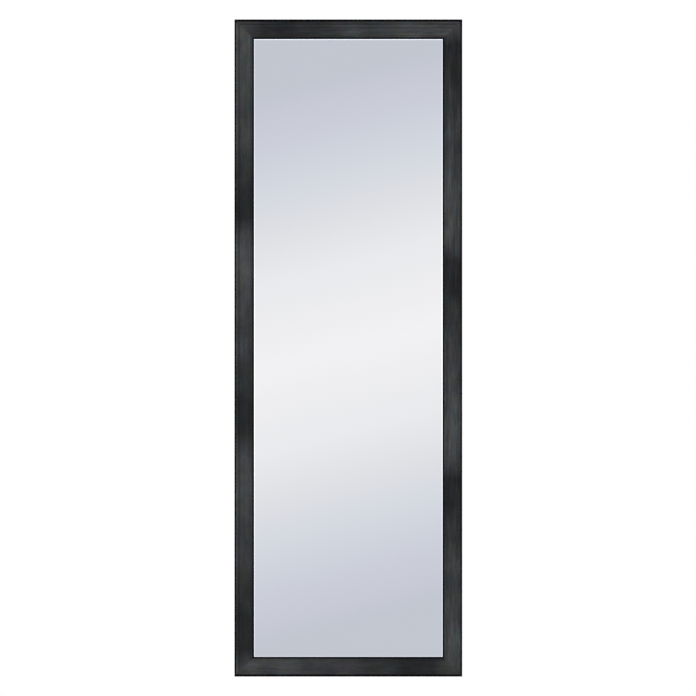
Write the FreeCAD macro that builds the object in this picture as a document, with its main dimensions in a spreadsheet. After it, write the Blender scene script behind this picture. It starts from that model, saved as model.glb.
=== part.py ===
import FreeCAD, Part
import os

import Sketcher
from FreeCAD import Rotation, Vector

# Framed wall mirror, in millimetres.
# +Z is up, +X is right as seen from the front, and +Y points back to the wall.
# The origin lies on the wall plane, midway between the two wall hooks.

# Driving dimensions
DIMENSIONS = {
    # Frame, outside sizes and moulding section
    "overall_width": 444.5,
    "overall_height": 1282.7,
    "face_width": 38.1,
    "moulding_depth": 20.0,
    "arris_radius": 2.5,
    "rim_width": 5.5,
    "rim_drop": 1.4,
    "slope_width": 5.0,
    "bevel_width": 7.1,
    "lip_height": 4.0,
    "lip_radius": 1.2,
    "rabbet_width": 7.15,
    "rabbet_depth": 11.0,
    # Pane and backing in the rabbet
    "glass_thickness": 3.0,
    "glass_gap": 0.8,
    "glass_seam": 0.5,
    "board_thickness": 3.0,
    "board_gap": 1.0,
    # Framing points, driven flat into the rabbet wall
    "point_thickness": 0.4,
    "point_width": 6.0,
    "point_reach": 9.0,
    "point_shoulder": 4.0,
    "point_bite": 8.0,
    "point_hole": 2.4,
    "point_end_gap": 90.0,
    "stile_points": 6,
    "rail_points": 2,
    # V-nails, pressed into the back across each mitre
    "nail_thickness": 0.6,
    "nail_wing": 6.0,
    "nail_length": 10.0,
    "nail_recess": 0.4,
    "outer_nail_inset": 9.0,
    "inner_nail_inset": 21.0,
    # Hangers: strap, ring and screws
    "hook_drop": 200.0,
    "strap_inset": 15.5,
    "strap_width": 12.5,
    "strap_thickness": 0.9,
    "strap_length": 34.0,
    "strap_corner": 4.0,
    "leg_gap": 0.2,
    "neck_radius": 1.6,
    "fold_clearance": 0.15,
    "wire_diameter": 2.6,
    "ring_height": 18.0,
    "ring_corner": 2.2,
    "ring_side_gap": 0.3,
    "ring_rest_gap": 0.3,
    "screw_drop": 11.0,
    "screw_pitch": 16.0,
    "strap_hole": 4.2,
    "shank_diameter": 3.4,
    "screw_length": 12.0,
    "screw_tip": 3.0,
    "head_diameter": 7.0,
    "head_height": 2.2,
    "head_round": 1.4,
    "cross_length": 3.8,
    "cross_width": 0.9,
    "cross_depth": 1.2,
    "pilot_clearance": 0.05,
    # Rubber bumpers that set the frame off the wall
    "bumper_diameter": 12.7,
    "bumper_height": 5.0,
    "bumper_taper": 0.6,
    "bumper_round": 1.2,
    "bumper_inset": 60.0,
}

# Sizes that follow from the driving ones
LAND = "(dims.face_width - dims.rabbet_width)"
FRAME_BACK = "(-dims.bumper_height)"
FRAME_TOP = "dims.hook_drop"
FRAME_BOTTOM = "(dims.hook_drop - dims.overall_height)"
FRAME_MIDDLE = "(dims.hook_drop - dims.overall_height / 2)"
HALF_WIDTH = "(dims.overall_width / 2)"
GLASS_BACK = "(dims.rabbet_depth - dims.glass_thickness)"
BOARD_BACK = "(dims.rabbet_depth - dims.glass_thickness - dims.board_thickness)"
POINT_BACK = f"({BOARD_BACK} - dims.point_thickness)"
WIRE_RADIUS = "(dims.wire_diameter / 2)"
FOLD_RADIUS = "(dims.wire_diameter / 2 + dims.fold_clearance)"
FOLD_OUTSIDE = "(dims.wire_diameter / 2 + dims.fold_clearance + dims.strap_thickness)"
STRAP_STACK = "(2 * dims.strap_thickness + dims.leg_gap)"
RING_HALF = "(dims.strap_width / 2 + dims.ring_side_gap + dims.ring_corner)"
# The ring leans on the frame's back until its bow is one rest gap away from it.
RING_LEAN = f"asin(({FOLD_OUTSIDE} - {WIRE_RADIUS} - dims.ring_rest_gap) / dims.ring_height)"
HANGER_X = f"({HALF_WIDTH} - dims.strap_inset)"
HANGER_Y = f"({FRAME_BACK} + {FOLD_OUTSIDE})"
HANGER_Z = f"(-(dims.ring_height - {WIRE_RADIUS}) * cos({RING_LEAN}))"

# Each side's moulding starts at one corner of the frame and runs anticlockwise, seen from the front.
# In its own axes x runs from the outer edge inwards, y from the back to the front and z along its length.
SIDES = {
    "left_stile": (0, f"-{HALF_WIDTH}", FRAME_TOP, "dims.overall_height"),
    "bottom_rail": (-90, f"-{HALF_WIDTH}", FRAME_BOTTOM, "dims.overall_width"),
    "right_stile": (-180, HALF_WIDTH, FRAME_BOTTOM, "dims.overall_height"),
    "top_rail": (-270, HALF_WIDTH, FRAME_TOP, "dims.overall_width"),
}

# Places closer together than this count as one.
SAME_PLACE = 0.01

doc = FreeCAD.newDocument("wall_mirror")
sheet = doc.addObject("Spreadsheet::Sheet", "dims")
for row, (alias, size) in enumerate(DIMENSIONS.items(), start=1):
    sheet.set(f"A{row}", alias)
    sheet.set(f"B{row}", str(size))
    sheet.setAlias(f"B{row}", alias)
doc.recompute()

nodes = []


def number(expression):
    """Present value of a sheet expression."""
    return float(sheet.evalExpression(expression))


def bind(item, **expressions):
    """Tie properties to the sheet; a double underscore in a name stands for a dot."""
    for name, expression in expressions.items():
        item.setExpression(name.replace("__", "."), expression)


def new_node(label):
    body = doc.addObject("PartDesign::Body", label)
    body.Label = label
    nodes.append(body)
    return body


def place(body, x, y, z, rotation=None):
    if rotation:
        body.Placement.Rotation = rotation
    bind(body, Placement__Base__x=x, Placement__Base__y=y, Placement__Base__z=z)


def place_on_side(body, side):
    turn, corner_x, corner_z, _ = SIDES[side]
    facing = Rotation(Vector(0, 1, 0), turn).multiply(Rotation(Vector(1, 0, 0), 180))
    place(body, corner_x, FRAME_BACK, corner_z, facing)


def origin_feature(body, role):
    return next(item for item in body.Origin.OriginFeatures if item.Role == role)


def new_sketch(body, name, plane, height=None):
    """Sketch on one of the body's origin planes, or parallel to it at a height along its normal."""
    sketch = body.newObject("Sketcher::SketchObject", name)
    sketch.AttachmentSupport = [(origin_feature(body, plane), "")]
    sketch.MapMode = "FlatFace"
    if height:
        bind(sketch, AttachmentOffset__Base__z=height)
    return sketch


def hold(sketch, kind, *where, size):
    """Add one dimension whose value is a sheet expression."""
    index = sketch.addConstraint(Sketcher.Constraint(kind, *where, number(size)))
    sketch.setExpression(f"Constraints[{index}]", size)


def hold_point(sketch, element, point, x, y):
    hold(sketch, "DistanceX", -1, 1, element, point, size=x)
    hold(sketch, "DistanceY", -1, 1, element, point, size=y)


def add_polygon(sketch, corners):
    first = sketch.GeometryCount
    count = len(corners)
    points = [Vector(number(x), number(y), 0) for x, y in corners]
    for i in range(count):
        sketch.addGeometry(Part.LineSegment(points[i], points[(i + 1) % count]))
    for i in range(count):
        sketch.addConstraint(Sketcher.Constraint("Coincident", first + i, 2, first + (i + 1) % count, 1))
    for i, (x, y) in enumerate(corners):
        hold_point(sketch, first + i, 1, x, y)


def add_rectangle(sketch, left, bottom, right, top):
    add_polygon(sketch, [(left, bottom), (right, bottom), (right, top), (left, top)])


def add_circle(sketch, x, y, radius):
    centre = Vector(number(x), number(y), 0)
    element = sketch.addGeometry(Part.Circle(centre, Vector(0, 0, 1), number(radius)))
    hold_point(sketch, element, 3, x, y)
    hold(sketch, "Radius", element, size=radius)


def add_arc(sketch, x, y, radius, start, end):
    """Arc about (x, y) between two angles in degrees, not yet constrained."""
    circle = Part.Circle(Vector(x, y, 0), Vector(0, 0, 1), radius)
    degree = FreeCAD.Units.Quantity("1 deg").getValueAs("rad").Value
    return sketch.addGeometry(Part.ArcOfCircle(circle, start * degree, end * degree))


def add_line(sketch, x1, y1, x2, y2):
    return sketch.addGeometry(Part.LineSegment(Vector(x1, y1, 0), Vector(x2, y2, 0)))


def extrude(body, kind, sketch, name, length, reverse=False, symmetric=False):
    feature = body.newObject(f"PartDesign::{kind}", name)
    feature.Profile = sketch
    feature.Reversed = reverse
    if symmetric:
        feature.SideType = "Symmetric"
    bind(feature, Length=length)
    doc.recompute()
    return feature


def revolve(body, sketch, name):
    feature = body.newObject("PartDesign::Revolution", name)
    feature.Profile = sketch
    feature.ReferenceAxis = (sketch, ["V_Axis"])
    feature.Angle = 360
    doc.recompute()
    return feature


def repeat(body, features, name, axis, length, count, reverse=False):
    """Repeat features along an origin axis; with no features, repeat the whole body."""
    pattern = body.newObject("PartDesign::LinearPattern", name)
    if features:
        pattern.Originals = features
    else:
        pattern.TransformMode = "Whole shape"
    pattern.Direction = (origin_feature(body, axis), [""])
    pattern.Reversed = reverse
    bind(pattern, Length=length, Occurrences=count)
    body.Tip = pattern
    doc.recompute()
    return pattern


def edges_where(feature, test):
    """Names of the feature's edges whose box passes the test."""
    return [f"Edge{i}" for i, edge in enumerate(feature.Shape.Edges, start=1) if test(edge.BoundBox)]


def ease_edges(body, kind, feature, name, size, test):
    """Round or chamfer the edges that pass the test."""
    easing = body.newObject(f"PartDesign::{kind}", name)
    easing.Base = (feature, edges_where(feature, test))
    bind(easing, **{"Radius" if kind == "Fillet" else "Size": size})
    doc.recompute()
    return easing


def near(value, expression):
    return abs(value - number(expression)) < SAME_PLACE


# Moulding
def add_point_outline(sketch):
    """Spear-shaped framing point, pointing outwards through the rabbet wall."""
    half = "dims.point_width / 2"
    quarter = "dims.point_width / 4"
    middle = f"{LAND} + dims.point_end_gap"
    end = f"{LAND} + dims.point_reach"
    add_polygon(sketch, [
        (f"{LAND} - dims.point_bite", middle),
        (f"{LAND} - dims.point_shoulder", f"{middle} - {half}"),
        (f"{end} - {quarter}", f"{middle} - {half}"),
        (end, f"{middle} - {quarter}"),
        (end, f"{middle} + {quarter}"),
        (f"{end} - {quarter}", f"{middle} + {half}"),
        (f"{LAND} - dims.point_shoulder", f"{middle} + {half}"),
    ])


def point_run(side):
    """Distance from a side's first framing point to its last."""
    return f"{SIDES[side][3]} - 2 * ({LAND} + dims.point_end_gap)"


def point_count(side):
    return "dims.stile_points" if "stile" in side else "dims.rail_points"


def make_moulding(side):
    length = SIDES[side][3]
    body = new_node(side)
    place_on_side(body, side)

    profile = new_sketch(body, f"{side}_profile", "XY_Plane")
    outer_corner = ("0", "dims.moulding_depth")
    inner_corner = ("dims.face_width", "dims.rabbet_depth + dims.lip_height")
    field = "dims.moulding_depth - dims.rim_drop"
    add_polygon(profile, [
        ("0", "0"),
        outer_corner,
        ("dims.rim_width", "dims.moulding_depth"),
        ("dims.rim_width + dims.slope_width", field),
        ("dims.face_width - dims.bevel_width", field),
        inner_corner,
        ("dims.face_width", "dims.rabbet_depth"),
        (LAND, "dims.rabbet_depth"),
        (LAND, "0"),
    ])
    bar = extrude(body, "Pad", profile, f"{side}_bar", length)

    def runs_along(corner):
        return lambda box: near(box.Center.x, corner[0]) and near(box.Center.y, corner[1])

    arris = runs_along(outer_corner)
    lip = runs_along(inner_corner)
    rounded = ease_edges(body, "Fillet", bar, f"{side}_arris", "dims.arris_radius", arris)
    ease_edges(body, "Fillet", rounded, f"{side}_lip", "dims.lip_radius", lip)

    mitres = new_sketch(body, f"{side}_mitre_lines", "XZ_Plane")
    past = "dims.face_width * 2"
    add_polygon(mitres, [(f"-{past}", f"-{past}"), (past, f"-{past}"), (past, past)])
    add_polygon(mitres, [
        (f"-{past}", f"{length} + {past}"),
        (past, f"{length} + {past}"),
        (past, f"{length} - {past}"),
    ])
    extrude(body, "Pocket", mitres, f"{side}_mitres", "dims.moulding_depth * 4", symmetric=True)

    nail_lines = new_sketch(body, f"{side}_nail_lines", "XZ_Plane")
    for inset in ("dims.outer_nail_inset", "dims.inner_nail_inset"):
        left = f"{inset} - dims.nail_thickness / 2"
        right = f"{inset} + dims.nail_thickness / 2"
        start = f"{inset} - dims.nail_thickness"
        end = f"{inset} + dims.nail_wing"
        add_rectangle(nail_lines, left, start, right, end)
        add_rectangle(nail_lines, left, f"{length} - ({end})", right, f"{length} - ({start})")
    extrude(body, "Pocket", nail_lines, f"{side}_nail_slots", "dims.nail_recess + dims.nail_length")

    point_lines = new_sketch(body, f"{side}_point_lines", "XZ_Plane", f"-{POINT_BACK}")
    add_point_outline(point_lines)
    slot = extrude(body, "Pocket", point_lines, f"{side}_point_slot", "dims.point_thickness")
    repeat(body, [slot], f"{side}_point_slots", "Z_Axis", point_run(side), point_count(side))

    if "stile" in side:
        pilots = new_sketch(body, f"{side}_pilot_lines", "XZ_Plane")
        for drop in ("dims.screw_drop", "(dims.screw_drop + dims.screw_pitch)"):
            below_top = f"{FRAME_TOP} - {HANGER_Z} + {drop}"
            along = below_top if side == "left_stile" else f"{length} - ({below_top})"
            add_circle(pilots, "dims.strap_inset", along, "dims.shank_diameter / 2 + dims.pilot_clearance")
        pilot_depth = f"dims.screw_length - {STRAP_STACK} + dims.pilot_clearance"
        extrude(body, "Pocket", pilots, f"{side}_pilots", pilot_depth)


# What holds the moulding and the pane together
def make_v_nails(label, side):
    """Two right-angled steel nails across the mitre where a side starts."""
    body = new_node(label)
    place_on_side(body, side)
    outline = new_sketch(body, f"{label}_outline", "XZ_Plane", "-dims.nail_recess")
    half = "dims.nail_thickness / 2"
    for inset in ("dims.outer_nail_inset", "dims.inner_nail_inset"):
        outside = f"{inset} - {half}"
        inside = f"{inset} + {half}"
        tip = f"{inset} + dims.nail_wing"
        add_polygon(outline, [
            (outside, outside),
            (outside, tip),
            (inside, tip),
            (inside, inside),
            (tip, inside),
            (tip, outside),
        ])
    extrude(body, "Pad", outline, f"{label}_wings", "dims.nail_length", reverse=True)


def make_points(label, side):
    """Row of framing points along one side's rabbet."""
    body = new_node(label)
    place_on_side(body, side)
    outline = new_sketch(body, f"{label}_outline", "XZ_Plane", f"-{POINT_BACK}")
    add_point_outline(outline)
    hole_x = f"{LAND} + dims.point_reach - dims.point_width / 2"
    add_circle(outline, hole_x, f"{LAND} + dims.point_end_gap", "dims.point_hole / 2")
    point = extrude(body, "Pad", outline, f"{label}_first", "dims.point_thickness", reverse=True)
    repeat(body, [point], f"{label}_row", "Z_Axis", point_run(side), point_count(side))


def make_sheet(label, front, thickness, edge_gap):
    """Rectangular sheet that fills the rabbet but for a gap round its edge."""
    body = new_node(label)
    place(body, "0", f"{FRAME_BACK} - {front}", FRAME_MIDDLE)
    outline = new_sketch(body, f"{label}_outline", "XZ_Plane")
    half_width = f"dims.overall_width / 2 - {LAND} - {edge_gap}"
    half_height = f"dims.overall_height / 2 - {LAND} - {edge_gap}"
    add_rectangle(outline, f"-({half_width})", f"-({half_height})", half_width, half_height)
    return body, extrude(body, "Pad", outline, f"{label}_sheet", thickness, reverse=True)


def make_mirror_glass():
    body, pane = make_sheet("mirror_glass", "dims.rabbet_depth", "dims.glass_thickness", "dims.glass_gap")
    ease_edges(body, "Chamfer", pane, "seamed_edges", "dims.glass_seam", lambda box: box.YLength < SAME_PLACE)


def make_backing_board():
    make_sheet("backing_board", GLASS_BACK, "dims.board_thickness", "dims.board_gap")


# Hangers
def make_strap(label, x):
    """Steel strip folded round the ring's bar, with both legs screwed down."""
    body = new_node(label)
    place(body, x, HANGER_Y, HANGER_Z)

    profile = new_sketch(body, f"{label}_profile", "YZ_Plane")
    inside = number(FOLD_RADIUS)
    outside = number(FOLD_OUTSIDE)
    neck = number("dims.neck_radius")
    thickness = number("dims.strap_thickness")
    end = -number("dims.strap_length")
    # The neck bends the rear leg back until it lies one leg gap behind the front leg.
    neck_y = neck + thickness - inside + number("dims.leg_gap")
    turn = number(f"acos({neck_y} / {outside + neck})")
    neck_z = -((outside + neck) ** 2 - neck_y ** 2) ** 0.5
    rear = neck_y - neck

    front_face = add_line(profile, -outside, end, -outside, 0)
    fold_outside = add_arc(profile, 0, 0, outside, -turn, 180)
    neck_outside = add_arc(profile, neck_y, neck_z, neck, 180 - turn, 180)
    rear_face = add_line(profile, rear, neck_z, rear, end)
    rear_end = add_line(profile, rear, end, rear - thickness, end)
    rear_inside = add_line(profile, rear - thickness, end, rear - thickness, neck_z)
    neck_inside = add_arc(profile, neck_y, neck_z, neck + thickness, 180 - turn, 180)
    fold_inside = add_arc(profile, 0, 0, inside, -turn, 180)
    front_inside = add_line(profile, -inside, 0, -inside, end)
    front_end = add_line(profile, -inside, end, -outside, end)

    constraints = [
        ("Tangent", front_face, 2, fold_outside, 2),
        ("Tangent", fold_outside, 1, neck_outside, 1),
        ("Tangent", neck_outside, 2, rear_face, 1),
        ("Coincident", rear_face, 2, rear_end, 1),
        ("Coincident", rear_end, 2, rear_inside, 1),
        ("Tangent", rear_inside, 2, neck_inside, 2),
        ("Tangent", neck_inside, 1, fold_inside, 1),
        ("Tangent", fold_inside, 2, front_inside, 1),
        ("Coincident", front_inside, 2, front_end, 1),
        ("Coincident", front_end, 2, front_face, 1),
        ("Coincident", fold_outside, 3, -1, 1),
        ("Coincident", fold_inside, 3, -1, 1),
        ("Coincident", neck_inside, 3, neck_outside, 3),
        ("Vertical", front_face),
        ("Vertical", front_inside),
        ("Vertical", rear_face),
        ("Vertical", rear_inside),
        ("Horizontal", rear_end),
        ("Horizontal", front_end),
    ]
    for constraint in constraints:
        profile.addConstraint(Sketcher.Constraint(*constraint))
    hold(profile, "Radius", fold_inside, size=FOLD_RADIUS)
    hold(profile, "Radius", fold_outside, size=FOLD_OUTSIDE)
    hold(profile, "Radius", neck_outside, size="dims.neck_radius")
    hold(profile, "DistanceX", front_inside, 2, rear_inside, 1, size="dims.leg_gap")
    hold(profile, "DistanceY", -1, 1, front_face, 1, size="-dims.strap_length")
    hold(profile, "DistanceY", -1, 1, rear_end, 1, size="-dims.strap_length")
    strip = extrude(body, "Pad", profile, f"{label}_strip", "dims.strap_width", symmetric=True)

    def is_end_corner(box):
        across = box.XLength < SAME_PLACE and box.ZLength < SAME_PLACE
        return across and near(box.Center.z, "-dims.strap_length")

    ease_edges(body, "Fillet", strip, f"{label}_ends", "dims.strap_corner", is_end_corner)

    holes = new_sketch(body, f"{label}_hole_lines", "XZ_Plane")
    for drop in ("dims.screw_drop", "(dims.screw_drop + dims.screw_pitch)"):
        add_circle(holes, "0", f"-{drop}", "dims.strap_hole / 2")
    extrude(body, "Pocket", holes, f"{label}_holes", "dims.strap_length", symmetric=True)


def make_ring(label, x):
    """D-ring of round wire; its bar lies in the strap's fold and its bow stands up."""
    body = new_node(label)
    body.Placement.Rotation = Rotation(Vector(1, 0, 0), 1)
    place(body, x, HANGER_Y, HANGER_Z)
    bind(body, Placement__Rotation__Angle=RING_LEAN)

    path = new_sketch(body, f"{label}_path", "XZ_Plane")
    half = number(RING_HALF)
    corner = number("dims.ring_corner")
    bow_z = number("dims.ring_height") - half
    right_bar = add_line(path, 0, 0, half - corner, 0)
    right_corner = add_arc(path, half - corner, corner, corner, -90, 0)
    right_leg = add_line(path, half, corner, half, bow_z)
    bow = add_arc(path, 0, bow_z, half, 0, 180)
    left_leg = add_line(path, -half, bow_z, -half, corner)
    left_corner = add_arc(path, corner - half, corner, corner, 180, 270)
    left_bar = add_line(path, corner - half, 0, 0, 0)
    elements = [right_bar, right_corner, right_leg, bow, left_leg, left_corner, left_bar]
    for element, follower in zip(elements, elements[1:]):
        path.addConstraint(Sketcher.Constraint("Tangent", element, 2, follower, 1))
    path.addConstraint(Sketcher.Constraint("Coincident", left_bar, 2, right_bar, 1))
    path.addConstraint(Sketcher.Constraint("Coincident", right_bar, 1, -1, 1))
    path.addConstraint(Sketcher.Constraint("Horizontal", right_bar))
    path.addConstraint(Sketcher.Constraint("Vertical", right_leg))
    path.addConstraint(Sketcher.Constraint("Equal", right_corner, left_corner))
    hold(path, "Radius", right_corner, size="dims.ring_corner")
    hold(path, "Radius", bow, size=RING_HALF)
    hold_point(path, bow, 3, "0", f"dims.ring_height - {RING_HALF}")

    section = new_sketch(body, f"{label}_section", "YZ_Plane")
    add_circle(section, "0", "0", WIRE_RADIUS)
    wire = body.newObject("PartDesign::AdditivePipe", f"{label}_wire")
    wire.Profile = section
    wire.Spine = (path, [f"Edge{i + 1}" for i in range(len(elements))])
    doc.recompute()


def make_screws(label, x):
    """Two pan-head screws with a cross recess, one above the other."""
    body = new_node(label)
    place(body, x, f"{FRAME_BACK} + {STRAP_STACK}", f"{HANGER_Z} - dims.screw_drop")
    profile = new_sketch(body, f"{label}_profile", "XY_Plane")
    add_polygon(profile, [
        ("0", "dims.head_height"),
        ("dims.head_diameter / 2", "dims.head_height"),
        ("dims.head_diameter / 2", "0"),
        ("dims.shank_diameter / 2", "0"),
        ("dims.shank_diameter / 2", "-(dims.screw_length - dims.screw_tip)"),
        ("0", "-dims.screw_length"),
    ])
    turned = revolve(body, profile, f"{label}_turned")
    ease_edges(body, "Fillet", turned, f"{label}_head", "dims.head_round",
               lambda box: near(box.YMin, "dims.head_height") and near(box.XLength, "dims.head_diameter"))

    recess = new_sketch(body, f"{label}_recess_lines", "XZ_Plane", "-dims.head_height")
    long = "dims.cross_length / 2"
    thin = "dims.cross_width / 2"
    quarter = [(long, f"-{thin}"), (long, thin), (thin, thin)]
    cross = []
    for _ in range(4):
        cross += quarter
        quarter = [(f"-({y})", x) for x, y in quarter]
    add_polygon(recess, cross)
    extrude(body, "Pocket", recess, f"{label}_recess", "dims.cross_depth", reverse=True)
    repeat(body, [], f"{label}_pair", "Z_Axis", "dims.screw_pitch", "2", reverse=True)


def make_bumper(label, x):
    """Round rubber pad, a little narrower towards the wall."""
    body = new_node(label)
    place(body, x, FRAME_BACK, f"{FRAME_BOTTOM} + {LAND} / 2")
    profile = new_sketch(body, f"{label}_profile", "XY_Plane")
    add_polygon(profile, [
        ("0", "0"),
        ("dims.bumper_diameter / 2", "0"),
        ("dims.bumper_diameter / 2 - dims.bumper_taper", "dims.bumper_height"),
        ("0", "dims.bumper_height"),
    ])
    pad = revolve(body, profile, f"{label}_pad")
    ease_edges(body, "Fillet", pad, f"{label}_rim", "dims.bumper_round",
               lambda box: near(box.YMin, "dims.bumper_height") and box.XLength > box.YLength)


def main():
    for side in SIDES:
        make_moulding(side)
        make_points(f"{side.split('_')[0]}_points", side)
    # Each side starts at the corner that its V-nails hold.
    corners = {
        "top_left": "left_stile",
        "bottom_left": "bottom_rail",
        "bottom_right": "right_stile",
        "top_right": "top_rail",
    }
    for corner, side in corners.items():
        make_v_nails(f"{corner}_v_nails", side)
    make_mirror_glass()
    make_backing_board()
    for hand, x in (("left", f"-{HANGER_X}"), ("right", HANGER_X)):
        make_strap(f"{hand}_hanger_strap", x)
        make_ring(f"{hand}_hanger_ring", x)
        make_screws(f"{hand}_hanger_screws", x)
    bumper_x = f"({HALF_WIDTH} - dims.bumper_inset)"
    make_bumper("lower_left_bumper", f"-{bumper_x}")
    make_bumper("lower_right_bumper", bumper_x)
    doc.recompute()

    failed = [item.Label for item in doc.Objects if {"Invalid", "Error"} & set(item.State)]
    failed += [node.Label for node in nodes if node.Shape.isNull() or not node.Shape.isValid()]
    if failed:
        raise SystemExit(f"not built: {failed}")
    os.makedirs("parts", exist_ok=True)
    for node in nodes:
        node.Shape.exportStep(f"parts/{node.Label}.step")


main()
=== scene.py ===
import math
from collections import namedtuple

import bpy
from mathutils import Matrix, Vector


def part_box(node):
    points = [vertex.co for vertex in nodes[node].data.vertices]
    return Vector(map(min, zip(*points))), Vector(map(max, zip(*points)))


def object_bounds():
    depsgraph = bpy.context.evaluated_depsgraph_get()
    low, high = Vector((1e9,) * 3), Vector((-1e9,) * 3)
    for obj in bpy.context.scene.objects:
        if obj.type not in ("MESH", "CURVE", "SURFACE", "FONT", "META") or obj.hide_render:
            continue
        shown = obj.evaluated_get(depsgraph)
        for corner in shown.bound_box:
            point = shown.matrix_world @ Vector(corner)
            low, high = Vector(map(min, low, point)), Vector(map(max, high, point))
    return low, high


# Framed wall mirror: finishes, studio and camera, in metres.
# +Z is up, +X is right as seen from the front, and +Y points back to the wall.
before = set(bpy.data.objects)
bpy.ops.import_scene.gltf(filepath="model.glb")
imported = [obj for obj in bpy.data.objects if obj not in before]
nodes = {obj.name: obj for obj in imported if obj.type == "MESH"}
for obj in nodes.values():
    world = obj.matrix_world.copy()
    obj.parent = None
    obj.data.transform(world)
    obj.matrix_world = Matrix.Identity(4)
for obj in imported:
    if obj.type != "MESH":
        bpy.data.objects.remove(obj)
cad_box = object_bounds()

# Sizes of frame and pane; depths are measured forwards from the wall.
lowest, highest = cad_box
stile_low, stile_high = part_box("left_stile")
pane_low, pane_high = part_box("mirror_glass")
GLASS_GAP = 0.0008
GLASS_SEAM = 0.0005
LEFT = lowest.x
RIGHT = highest.x
BOTTOM = lowest.z
TOP = highest.z
MIDDLE = (TOP + BOTTOM) / 2
HALF_HEIGHT = (TOP - BOTTOM) / 2
FRONT = -lowest.y
FRAME_BACK = -stile_high.y
GLASS_FRONT = -pane_low.y
GLASS_BACK = -pane_high.y
FACE_WIDTH = stile_high.x - stile_low.x
LAND = pane_low.x - LEFT - GLASS_GAP
SIGHT_HALF_WIDTH = RIGHT - FACE_WIDTH
SIGHT_HALF_HEIGHT = HALF_HEIGHT - FACE_WIDTH
# Faces closer together than this count as one.
SAME_PLACE = 0.0001


def srgb(red, green, blue):
    """Linear colour of an 8-bit display colour."""
    def linear(value):
        value /= 255
        return value / 12.92 if value <= 0.04045 else ((value + 0.055) / 1.055) ** 2.4
    return (linear(red), linear(green), linear(blue), 1)


def grey(value):
    return srgb(value, value, value)


# Node helpers
def add(tree, kind, inputs=None, **settings):
    """Add a node; each input is a plain value or another node's output."""
    node = tree.nodes.new(f"ShaderNode{kind}")
    for name, value in settings.items():
        setattr(node, name, value)
    for key, value in (inputs or {}).items():
        if isinstance(value, bpy.types.NodeSocket):
            tree.links.new(value, node.inputs[key])
        else:
            node.inputs[key].default_value = value
    return node


def calc(tree, operation, first, second=0.0):
    return add(tree, "Math", {0: first, 1: second}, operation=operation).outputs[0]


def product(tree, first, *others):
    for other in others:
        first = calc(tree, "MULTIPLY", first, other)
    return first


def mix(tree, factor, first, second, blend="MIX"):
    inputs = {0: factor, 6: first, 7: second}
    return add(tree, "Mix", inputs, data_type="RGBA", blend_type=blend).outputs[2]


def step(tree, value, low, high):
    """Smooth step from 0 at low to 1 at high."""
    inputs = {"Value": value, "From Min": low, "From Max": high}
    return add(tree, "MapRange", inputs, interpolation_type="SMOOTHSTEP").outputs[0]


def fall(tree, value, low, high):
    """Smooth step from 1 at low to 0 at high."""
    return calc(tree, "SUBTRACT", 1.0, step(tree, value, low, high))


def band(tree, value, low, full, falling, gone):
    """Rise from 0 at low to 1 at full, then fall from 1 at falling to 0 at gone."""
    return calc(tree, "SUBTRACT", step(tree, value, low, full), step(tree, value, falling, gone))


def within(tree, value, centre, reach):
    """1 where the value lies no further than reach from the centre, 0 elsewhere."""
    return add(tree, "Math", {0: value, 1: centre, 2: reach}, operation="COMPARE").outputs[0]


def spread(tree, value, low, high):
    """Stretch a 0 to 1 value to the range from low to high."""
    return add(tree, "MapRange", {"Value": value, "To Min": low, "To Max": high}).outputs[0]


def ramp(tree, factor, stops):
    node = add(tree, "ValToRGB", {0: factor})
    elements = node.color_ramp.elements
    while len(elements) < len(stops):
        elements.new(0.5)
    for element, (position, colour) in zip(elements, stops):
        element.position = position
        element.color = colour
    return node.outputs[0]


def noise(tree, vector, stretch, seed, detail=3.0, roughness=0.5):
    """Seeded noise; stretch is how many lumps there are to a metre along each axis."""
    scaled = add(tree, "Mapping", {"Vector": vector, "Scale": stretch}).outputs[0]
    inputs = {"Vector": scaled, "W": seed, "Scale": 1.0, "Detail": detail, "Roughness": roughness}
    return add(tree, "TexNoise", inputs, noise_dimensions="4D").outputs[0]


def split(tree, vector):
    return add(tree, "SeparateXYZ", {0: vector}).outputs[:3]


def length(tree, vector):
    return add(tree, "VectorMath", {0: vector}, operation="LENGTH").outputs["Value"]


def bump(tree, height, depth):
    return add(tree, "Bump", {"Height": height, "Distance": depth, "Strength": 1.0}).outputs[0]


def new_material(name):
    material = bpy.data.materials.new(name)
    material.use_nodes = True
    tree = material.node_tree
    shader = tree.nodes["Principled BSDF"]
    position = add(tree, "TexCoord").outputs["Object"]
    return material, tree, shader, position


def plug(tree, shader, **inputs):
    """Set or link the shader's inputs; an underscore in a name stands for a space."""
    for name, value in inputs.items():
        socket = shader.inputs[name.replace("_", " ")]
        if isinstance(value, bpy.types.NodeSocket):
            tree.links.new(value, socket)
        else:
            socket.default_value = value


def dress(material, *names):
    for name in names:
        slots = nodes[name].data.materials
        slots.clear()
        slots.append(material)


# Moulding: printed charcoal foil on fibreboard

# In a side's own axes s runs along it from one outer corner, u inwards from its outer edge and v forwards
# from the wall. Each side has its turn in degrees, the place of that corner and the seed of its long streaks.
# The rest say how strongly its print shows grain; how wide the black line on its arris is, black edge paint
# and painted shade; how much paler its rim is, a painted highlight on the left where the key lamp falls, and
# darker where it is below 0; how much painted shade lies in the angle below the rim, most where the slope
# faces away from the key lamp; and how strong the painted highlight at the foot of the slope is, with a dim
# line beyond it.
Side = namedtuple("Side", "turn corner streaks grain line rim angle foot")
SIDES = {
    "left_stile": Side(90, (TOP, -LEFT), 215, grain=0.45, line=0.0033, rim=0.34, angle=0.32, foot=0.0),
    "bottom_rail": Side(0, (-LEFT, -BOTTOM), 96, grain=0.45, line=0.0045, rim=-0.22, angle=0.08, foot=0.0),
    "right_stile": Side(-90, (-BOTTOM, RIGHT), 136, grain=0.95, line=0.0031, rim=-0.3, angle=0.2, foot=0.05),
    "top_rail": Side(180, (RIGHT, TOP), 75, grain=0.8, line=0.0045, rim=-0.2, angle=0.38, foot=0.22),
}
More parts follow.
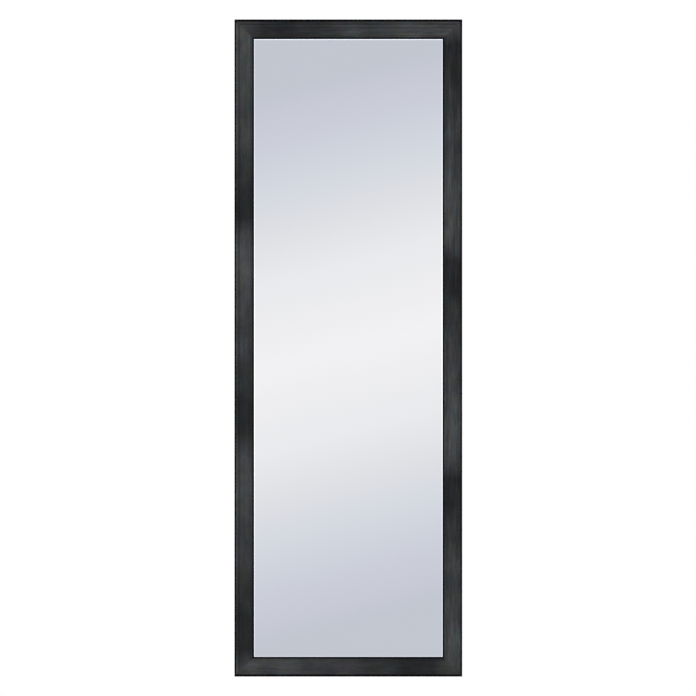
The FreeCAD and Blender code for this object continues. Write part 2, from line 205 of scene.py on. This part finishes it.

# Where the painted light and shade, the black lines, the darker corners, the foil's lap and the mitre line
# begin
# and end: across the face, from the nearest corner and forwards from the wall.
RIM_END = (0.0042, 0.0072)
UNDER_RIM = (0.0056, 0.0092, 0.0102, 0.0118)
SLOPE_FOOT = (0.0105, 0.0116, 0.0132, 0.0144)
BELOW_FOOT = (0.0136, 0.0147, 0.016, 0.0185)
BEVEL_START = (0.029, 0.0325)
LIP_START = (0.0341, 0.0357)
CORNER_DARK_REACH = (0.004, 0.014)
ARRIS_TURN = (0.0205, 0.0226)
LINE_BLUR = 0.0004
LINE_WANDER = 0.0003
LAP_WIDTH = 0.0055
LAP_WANDER = 0.0012
MITRE_LINE = 0.0004

# Shares and colours of the painted light and shade, the dim line, the darker corners, the black outline and
# the mitre line; 1 is full.
DIM_LINE = 0.8
# painted shade on the bevel
BEVEL_SHADE = 0.12
CORNER_DARKNESS = 0.8
OUTLINE_SHADE = 0.97
# colour of the painted shade below the rim and on the bevel, and of the darker corners
SHADE = grey(8)
# black edge paint that also stands for painted shade on the arris and the lip
OUTLINE = srgb(4, 4, 6)
MITRE = srgb(70, 50, 34)

# Lumps to a metre along s, u and v, and in fibreboard along all three axes.
RIPPLES = (20, 26, 26)
BLOTCHES = (30, 45, 45)
WISPS = (18, 220, 220)
STREAKS = (1.2, 150, 150)
PORES = (90, 2600, 2600)
TICKS = (40, 1300, 1300)
WANDERINGS = (12, 12, 12)
RAGS = (60, 60, 0)
FIBRES = (900, 900, 900)
PATCHES = (25, 25, 25)

# The print's charcoal under painted sheen, which clouds it from pale to dark once in every repeat, with faint
# olive, violet and teal tints.
PRINT_REPEAT = 0.421
PALE = srgb(65, 67, 68)
GREY = srgb(57, 58, 60)
DIM = srgb(52, 54, 56)
SHADY = srgb(45, 47, 48)
DARK = srgb(35, 36, 38)
PRINT_WITH_SHEEN = [
    (0.0, GREY),
    (0.07, PALE),
    (0.21, PALE),
    (0.43, DIM),
    (0.52, GREY),
    (0.64, SHADY),
    (0.7, SHADY),
    (0.79, DARK),
    (0.92, DARK),
    (1.0, GREY),
]
TINTS = [
    (0.33, (1.03, 1.07, 0.91, 1)),
    (0.44, (1.03, 1.02, 0.97, 1)),
    (0.54, (1.03, 0.97, 1.05, 1)),
    (0.65, (0.9, 1.07, 1.05, 1)),
]


def side_axes(tree, position, side):
    """Turn and shift positions to the side's s, u and v."""
    shift = (*side.corner, 0)
    turn = (-math.pi / 2, 0, math.radians(side.turn))
    return add(tree, "Mapping", {"Vector": position, "Location": shift, "Rotation": turn}).outputs[0]


def print_and_painted_light(tree, place, side, seed, ripple, pore):
    """Tints of the print under clouds of painted sheen, with wisps, streaks, pores and short dark ticks over
    them, and with painted light and shade on the rim and at the foot of the slope.
    """
    s, u, _ = split(tree, place)
    phase = calc(tree, "FRACT", calc(tree, "DIVIDE", s, PRINT_REPEAT))
    blotch = noise(tree, place, BLOTCHES, seed + 30, 2)
    wisp = noise(tree, place, WISPS, seed + 10, 4, 0.6)
    streak = noise(tree, place, STREAKS, side.streaks, 3, 0.6)
    tick = step(tree, noise(tree, place, TICKS, seed + 90, 2), 0.58, 0.68)
    drawn = 0.2 + 0.35 * side.grain
    tone = product(
        tree,
        spread(tree, ripple, 0.38, 1.62),
        spread(tree, wisp, 1 - side.grain, 1 + side.grain),
        spread(tree, streak, 1 - drawn, 1 + drawn),
        spread(tree, pore, 0.7, 1.3),
        spread(tree, tick, 1.02, 0.68),
        # painted highlight on the left rim, where the key lamp falls; the other rims are darker
        spread(tree, step(tree, u, *RIM_END), 1 + side.rim, 1.0),
        # painted highlight at the foot of the slope, with a dim line beyond it
        spread(tree, band(tree, u, *SLOPE_FOOT), 1.0, 1 + side.foot),
        spread(tree, band(tree, u, *BELOW_FOOT), 1.0, 1 - DIM_LINE * side.foot),
    )
    # painted sheen clouding the print along each repeat, times the print's tints
    cloud = mix(tree, 1.0, ramp(tree, phase, PRINT_WITH_SHEEN), ramp(tree, blotch, TINTS), "MULTIPLY")
    return mix(tree, 1.0, cloud, tone, "MULTIPLY")


def from_corner(tree, position):
    """Distance from the nearest outer corner of the frame, over its face."""
    x, _, z = split(tree, position)
    across = calc(tree, "SUBTRACT", RIGHT, calc(tree, "ABSOLUTE", x))
    off_middle = calc(tree, "ABSOLUTE", calc(tree, "SUBTRACT", z, MIDDLE))
    along = calc(tree, "SUBTRACT", HALF_HEIGHT, off_middle)
    return length(tree, add(tree, "CombineXYZ", {0: across, 1: along}).outputs[0])


def edge_shades(tree, position, place, side, seed, ripple):
    """Painted shade below the rim and on the bevel, darker patches at the corners, and where the foil is
    black, which is black edge paint and painted shade.
    """
    _, u, v = split(tree, place)
    wander = spread(tree, noise(tree, place, WANDERINGS, seed + 40), -LINE_WANDER, LINE_WANDER)
    edge = calc(tree, "ADD", u, wander)
    # painted shade in the angle below the rim
    angle = product(tree, band(tree, edge, *UNDER_RIM), side.angle)
    # painted shade on the bevel down to the lip
    bevel = product(tree, step(tree, edge, *BEVEL_START), BEVEL_SHADE)
    # darker patches near the outer corners
    near_corner = fall(tree, from_corner(tree, position), *CORNER_DARK_REACH)
    corner_dark = product(tree, near_corner, spread(tree, ripple, 0.0, CORNER_DARKNESS))
    shade = calc(tree, "MAXIMUM", calc(tree, "ADD", angle, bevel), corner_dark)
    # black on the arris and the lip: black edge paint, and painted shade where they turn from the light
    arris = fall(tree, edge, side.line - LINE_BLUR, side.line + LINE_BLUR)
    front_arris = product(tree, arris, step(tree, v, *ARRIS_TURN))
    outline = calc(tree, "MAXIMUM", front_arris, step(tree, edge, *LIP_START))
    return shade, outline


def bare_board(tree, position, place, seed):
    """Fibreboard, where it shows on the back past the foil's lap and in the rabbet, and its fibres."""
    s, u, v = split(tree, place)
    ragged = spread(tree, noise(tree, place, RAGS, seed + 70), -LAP_WANDER, LAP_WANDER)
    past_lap = calc(tree, "GREATER_THAN", calc(tree, "ADD", u, ragged), LAP_WIDTH)
    on_back = product(tree, calc(tree, "LESS_THAN", v, FRAME_BACK + SAME_PLACE), past_lap)
    past_land = calc(tree, "GREATER_THAN", u, LAND - SAME_PLACE)
    in_rabbet = product(tree, calc(tree, "LESS_THAN", v, GLASS_FRONT + SAME_PLACE), past_land)
    fibre = noise(tree, position, FIBRES, seed + 60, 4, 0.7)
    patch = noise(tree, position, PATCHES, seed + 80, 2)
    board = ramp(tree, fibre, [
        (0.3, srgb(146, 112, 78)),
        (0.55, srgb(172, 138, 100)),
        (0.75, srgb(190, 158, 120)),
    ])
    board = mix(tree, 1.0, board, spread(tree, patch, 0.8, 1.15), "MULTIPLY")
    mitre = calc(tree, "LESS_THAN", calc(tree, "SUBTRACT", s, u), MITRE_LINE)
    board = mix(tree, mitre, board, MITRE)
    return calc(tree, "MAXIMUM", on_back, in_rabbet), board, fibre


def foil(name, side, seed):
    material, tree, shader, position = new_material(f"foil_{name}")
    place = side_axes(tree, position, side)
    ripple = noise(tree, place, RIPPLES, seed, 3, 0.6)
    pore = noise(tree, place, PORES, seed + 50, 2)
    shade, outline = edge_shades(tree, position, place, side, seed, ripple)
    bare, board, fibre = bare_board(tree, position, place, seed)
    # painted shade below the rim and on the bevel, and the darker corners, over the print
    colour = mix(tree, shade, print_and_painted_light(tree, place, side, seed, ripple, pore), SHADE)
    colour = mix(tree, product(tree, outline, OUTLINE_SHADE), colour, OUTLINE)
    dull = calc(tree, "MAXIMUM", outline, product(tree, bare, 0.85))
    plug(tree, shader, Base_Color=mix(tree, bare, colour, board),
         Roughness=calc(tree, "MAXIMUM", spread(tree, ripple, 0.4, 0.5), dull),
         Specular_IOR_Level=0.08, Normal=bump(tree, mix(tree, bare, pore, fibre), 0.00004))
    return material


for number, (name, side) in enumerate(SIDES.items()):
    dress(foil(name, side, number * 7.0), name)


# Pane: silvered float glass with a painted back
def silvered_glass():
    material, tree, shader, position = new_material("silvered_glass")
    _, y, _ = split(tree, position)
    painted = calc(tree, "GREATER_THAN", y, -GLASS_BACK - GLASS_SEAM)
    wave = noise(tree, position, (3, 3, 3), 1.0, 1)
    silver = mix(tree, wave, (0.95, 0.965, 0.96, 1), (0.965, 0.97, 0.97, 1))
    speck = noise(tree, position, (600, 600, 600), 2.0)
    paint = mix(tree, speck, srgb(88, 96, 102), srgb(104, 112, 118))
    plug(tree, shader, Base_Color=mix(tree, painted, silver, paint),
         Metallic=calc(tree, "SUBTRACT", 1.0, painted),
         Roughness=spread(tree, painted, 0.004, 0.55))
    return material


dress(silvered_glass(), "mirror_glass")


# Backing board: brown hardboard with a fibrous face
def hardboard():
    material, tree, shader, position = new_material("hardboard")
    fibre = noise(tree, position, (500, 500, 500), 3.0, 5, 0.75)
    patch = noise(tree, position, (14, 14, 14), 4.0, 3)
    fleck = noise(tree, position, (520, 520, 220), 5.0, 3, 0.6)
    colour = ramp(tree, fibre, [
        (0.3, srgb(84, 56, 35)),
        (0.5, srgb(116, 81, 52)),
        (0.72, srgb(142, 104, 70)),
    ])
    colour = mix(tree, 1.0, colour, spread(tree, patch, 0.8, 1.2), "MULTIPLY")
    colour = mix(tree, step(tree, fleck, 0.66, 0.74), colour, srgb(70, 46, 29))
    plug(tree, shader, Base_Color=colour, Roughness=spread(tree, fibre, 0.5, 0.75),
         Specular_IOR_Level=0.3, Normal=bump(tree, fibre, 0.00008))
    return material


dress(hardboard(), "backing_board")


# Hardware: bright zinc, dark spring steel and rubber
def metal(name, dark, light, low_gloss, high_gloss, seed):
    material, tree, shader, position = new_material(name)
    cloud = noise(tree, position, (160, 160, 160), seed, 3)
    scratch = noise(tree, position, (2600, 2600, 240), seed + 1, 3, 0.6)
    plug(tree, shader, Base_Color=mix(tree, cloud, dark, light), Metallic=1.0,
         Roughness=spread(tree, scratch, low_gloss, high_gloss), Normal=bump(tree, scratch, 0.000006))
    return material


def rubber():
    material, tree, shader, position = new_material("black_rubber")
    grain = noise(tree, position, (1800, 1800, 1800), 8.0, 3)
    dust = noise(tree, position, (220, 220, 220), 9.0, 3)
    plug(tree, shader, Base_Color=mix(tree, dust, grey(24), grey(36)),
         Roughness=spread(tree, grain, 0.6, 0.8), Specular_IOR_Level=0.35, Normal=bump(tree, grain, 0.00003))
    return material


zinc = metal("zinc_plated_steel", srgb(196, 198, 200), srgb(220, 221, 220), 0.2, 0.36, 20.0)
spring = metal("spring_steel", srgb(120, 121, 124), srgb(150, 150, 150), 0.3, 0.5, 30.0)
for hand in ("left", "right"):
    dress(zinc, f"{hand}_hanger_strap", f"{hand}_hanger_ring", f"{hand}_hanger_screws")
dress(spring, *(name for name in nodes if name.endswith(("_points", "_v_nails"))))
dress(rubber(), "lower_left_bumper", "lower_right_bumper")


# Studio
PAPER = grey(242)
FLOOR_HEIGHT = BOTTOM - 0.45
FLOOR_SIZE = 14.0
FLOOR_FADE = (0.14, 0.32)
CAMERA_DISTANCE = 12.0
VIEW_WIDTH = 1.3582
VIEW_SHIFT = -0.0005
SENSOR_WIDTH = 36
CARD_DISTANCE = 12.6
CARD_MARGIN = 0.02
BAND_SLOPE = 0.26
BAND_REACH = 0.54
GLINT_WIDTH = 0.0012
GLINT_INSET = 0.0009
GLINT_STRENGTH = 2.2
SIDE_GLINT = 0.6
BOTTOM_GLINT = 0.35


def new_plane(name, width, depth, location, rotation):
    bpy.ops.mesh.primitive_plane_add(size=1, location=location, rotation=rotation)
    plane = bpy.context.object
    plane.name = name
    plane.scale = (width, depth, 1)
    return plane


def floor_material():
    """Pale paper that fades out at its far edge."""
    material, tree, shader, position = new_material("studio_floor")
    plug(tree, shader, Base_Color=PAPER, Roughness=0.9, Specular_IOR_Level=0.1)
    fade = step(tree, length(tree, position), *FLOOR_FADE)
    clear = add(tree, "BsdfTransparent")
    whole = add(tree, "MixShader", {0: fade, 1: shader.outputs[0], 2: clear.outputs[0]})
    tree.links.new(whole.outputs[0], tree.nodes["Material Output"].inputs["Surface"])
    return material


def card_material(half_width, half_height):
    """Panel behind the camera, palest along a sloping band, with a glint near its rim.

    The pane reflects it, and the sizes are those of its reflection in the plane of the glass.
    """
    material, tree, _, position = new_material("studio_card")
    x, y, _ = split(tree, position)
    across = product(tree, x, -2 * half_width)
    height = product(tree, y, 2 * half_height)
    off_band = calc(tree, "ABSOLUTE", calc(tree, "SUBTRACT", height, product(tree, across, BAND_SLOPE)))
    colour = ramp(tree, calc(tree, "DIVIDE", off_band, BAND_REACH), [
        (0.0, srgb(246, 244, 247)),
        (0.31, srgb(237, 237, 240)),
        (0.5, srgb(226, 226, 231)),
        (0.62, srgb(217, 220, 228)),
        (0.8, srgb(208, 210, 221)),
        (0.93, srgb(203, 204, 216)),
        (1.0, srgb(197, 201, 211)),
    ])
    side = SIGHT_HALF_WIDTH - GLINT_INSET
    end = SIGHT_HALF_HEIGHT - GLINT_INSET
    side_glint = within(tree, calc(tree, "ABSOLUTE", across), side, GLINT_WIDTH / 2)
    top_glint = within(tree, height, end, GLINT_WIDTH / 2)
    bottom_glint = within(tree, height, -end, GLINT_WIDTH / 2)
    end_glint = calc(tree, "MAXIMUM", top_glint, product(tree, bottom_glint, BOTTOM_GLINT))
    glint = calc(tree, "MAXIMUM", end_glint, product(tree, side_glint, SIDE_GLINT))
    glow = add(tree, "Emission", {"Color": colour, "Strength": spread(tree, glint, 1.0, GLINT_STRENGTH)})
    tree.links.new(glow.outputs[0], tree.nodes["Material Output"].inputs["Surface"])
    return material


floor = new_plane("studio_floor", FLOOR_SIZE, FLOOR_SIZE, (0, 0, FLOOR_HEIGHT), (0, 0, 0))
floor.data.materials.append(floor_material())

to_glass = CAMERA_DISTANCE + FRONT - GLASS_FRONT
enlarged = (to_glass + CARD_DISTANCE) / to_glass
card_half_width = SIGHT_HALF_WIDTH + CARD_MARGIN
card_half_height = SIGHT_HALF_HEIGHT + CARD_MARGIN
card = new_plane("studio_card", 2 * card_half_width * enlarged, 2 * card_half_height * enlarged,
                 (0, -CARD_DISTANCE - GLASS_FRONT, MIDDLE), (math.pi / 2, 0, math.pi))
card.data.materials.append(card_material(card_half_width, card_half_height))
card.visible_camera = False
card.visible_diffuse = False
card.visible_shadow = False


def new_lamp(name, location, size, power, in_reflections):
    data = bpy.data.lights.new(name, "AREA")
    data.shape = "SQUARE"
    data.size = size
    data.energy = power
    lamp = bpy.data.objects.new(name, data)
    bpy.context.scene.collection.objects.link(lamp)
    lamp.location = location
    aim = Vector((0, 0, MIDDLE)) - lamp.location
    lamp.rotation_euler = aim.to_track_quat("-Z", "Y").to_euler()
    lamp.visible_glossy = in_reflections


new_lamp("key_lamp", (-2.8, -3.0, 2.2), 2.0, 110, False)
new_lamp("fill_lamp", (2.8, -3.8, 0.0), 2.4, 26, False)
new_lamp("back_lamp", (1.8, 3.6, 1.8), 2.2, 114, True)


def make_world():
    """Even light; seen directly it is white, and in reflections it pales towards the horizon."""
    world = bpy.data.worlds.new("studio")
    bpy.context.scene.world = world
    world.use_nodes = True
    tree = world.node_tree
    _, _, z = split(tree, add(tree, "TexCoord").outputs["Generated"])
    sky = ramp(tree, calc(tree, "ABSOLUTE", z), [
        (0.0, srgb(240, 240, 242)),
        (0.12, srgb(224, 227, 233)),
        (0.4, srgb(206, 210, 218)),
        (1.0, srgb(196, 201, 210)),
    ])
    path = add(tree, "LightPath")
    even = mix(tree, path.outputs["Is Diffuse Ray"], (1, 1, 1, 1), grey(188))
    colour = mix(tree, path.outputs["Is Glossy Ray"], even, sky)
    tree.links.new(colour, tree.nodes["Background"].inputs["Color"])


make_world()

# Camera, square to the frame
camera = bpy.data.objects.new("camera", bpy.data.cameras.new("camera"))
bpy.context.scene.collection.objects.link(camera)
camera.location = (0, -FRONT - CAMERA_DISTANCE, MIDDLE)
camera.rotation_euler = (math.pi / 2, 0, 0)
camera.data.sensor_width = SENSOR_WIDTH
camera.data.lens = SENSOR_WIDTH * CAMERA_DISTANCE / VIEW_WIDTH
camera.data.shift_x = VIEW_SHIFT
bpy.context.scene.camera = camera

bpy.context.scene.view_settings.view_transform = "Standard"
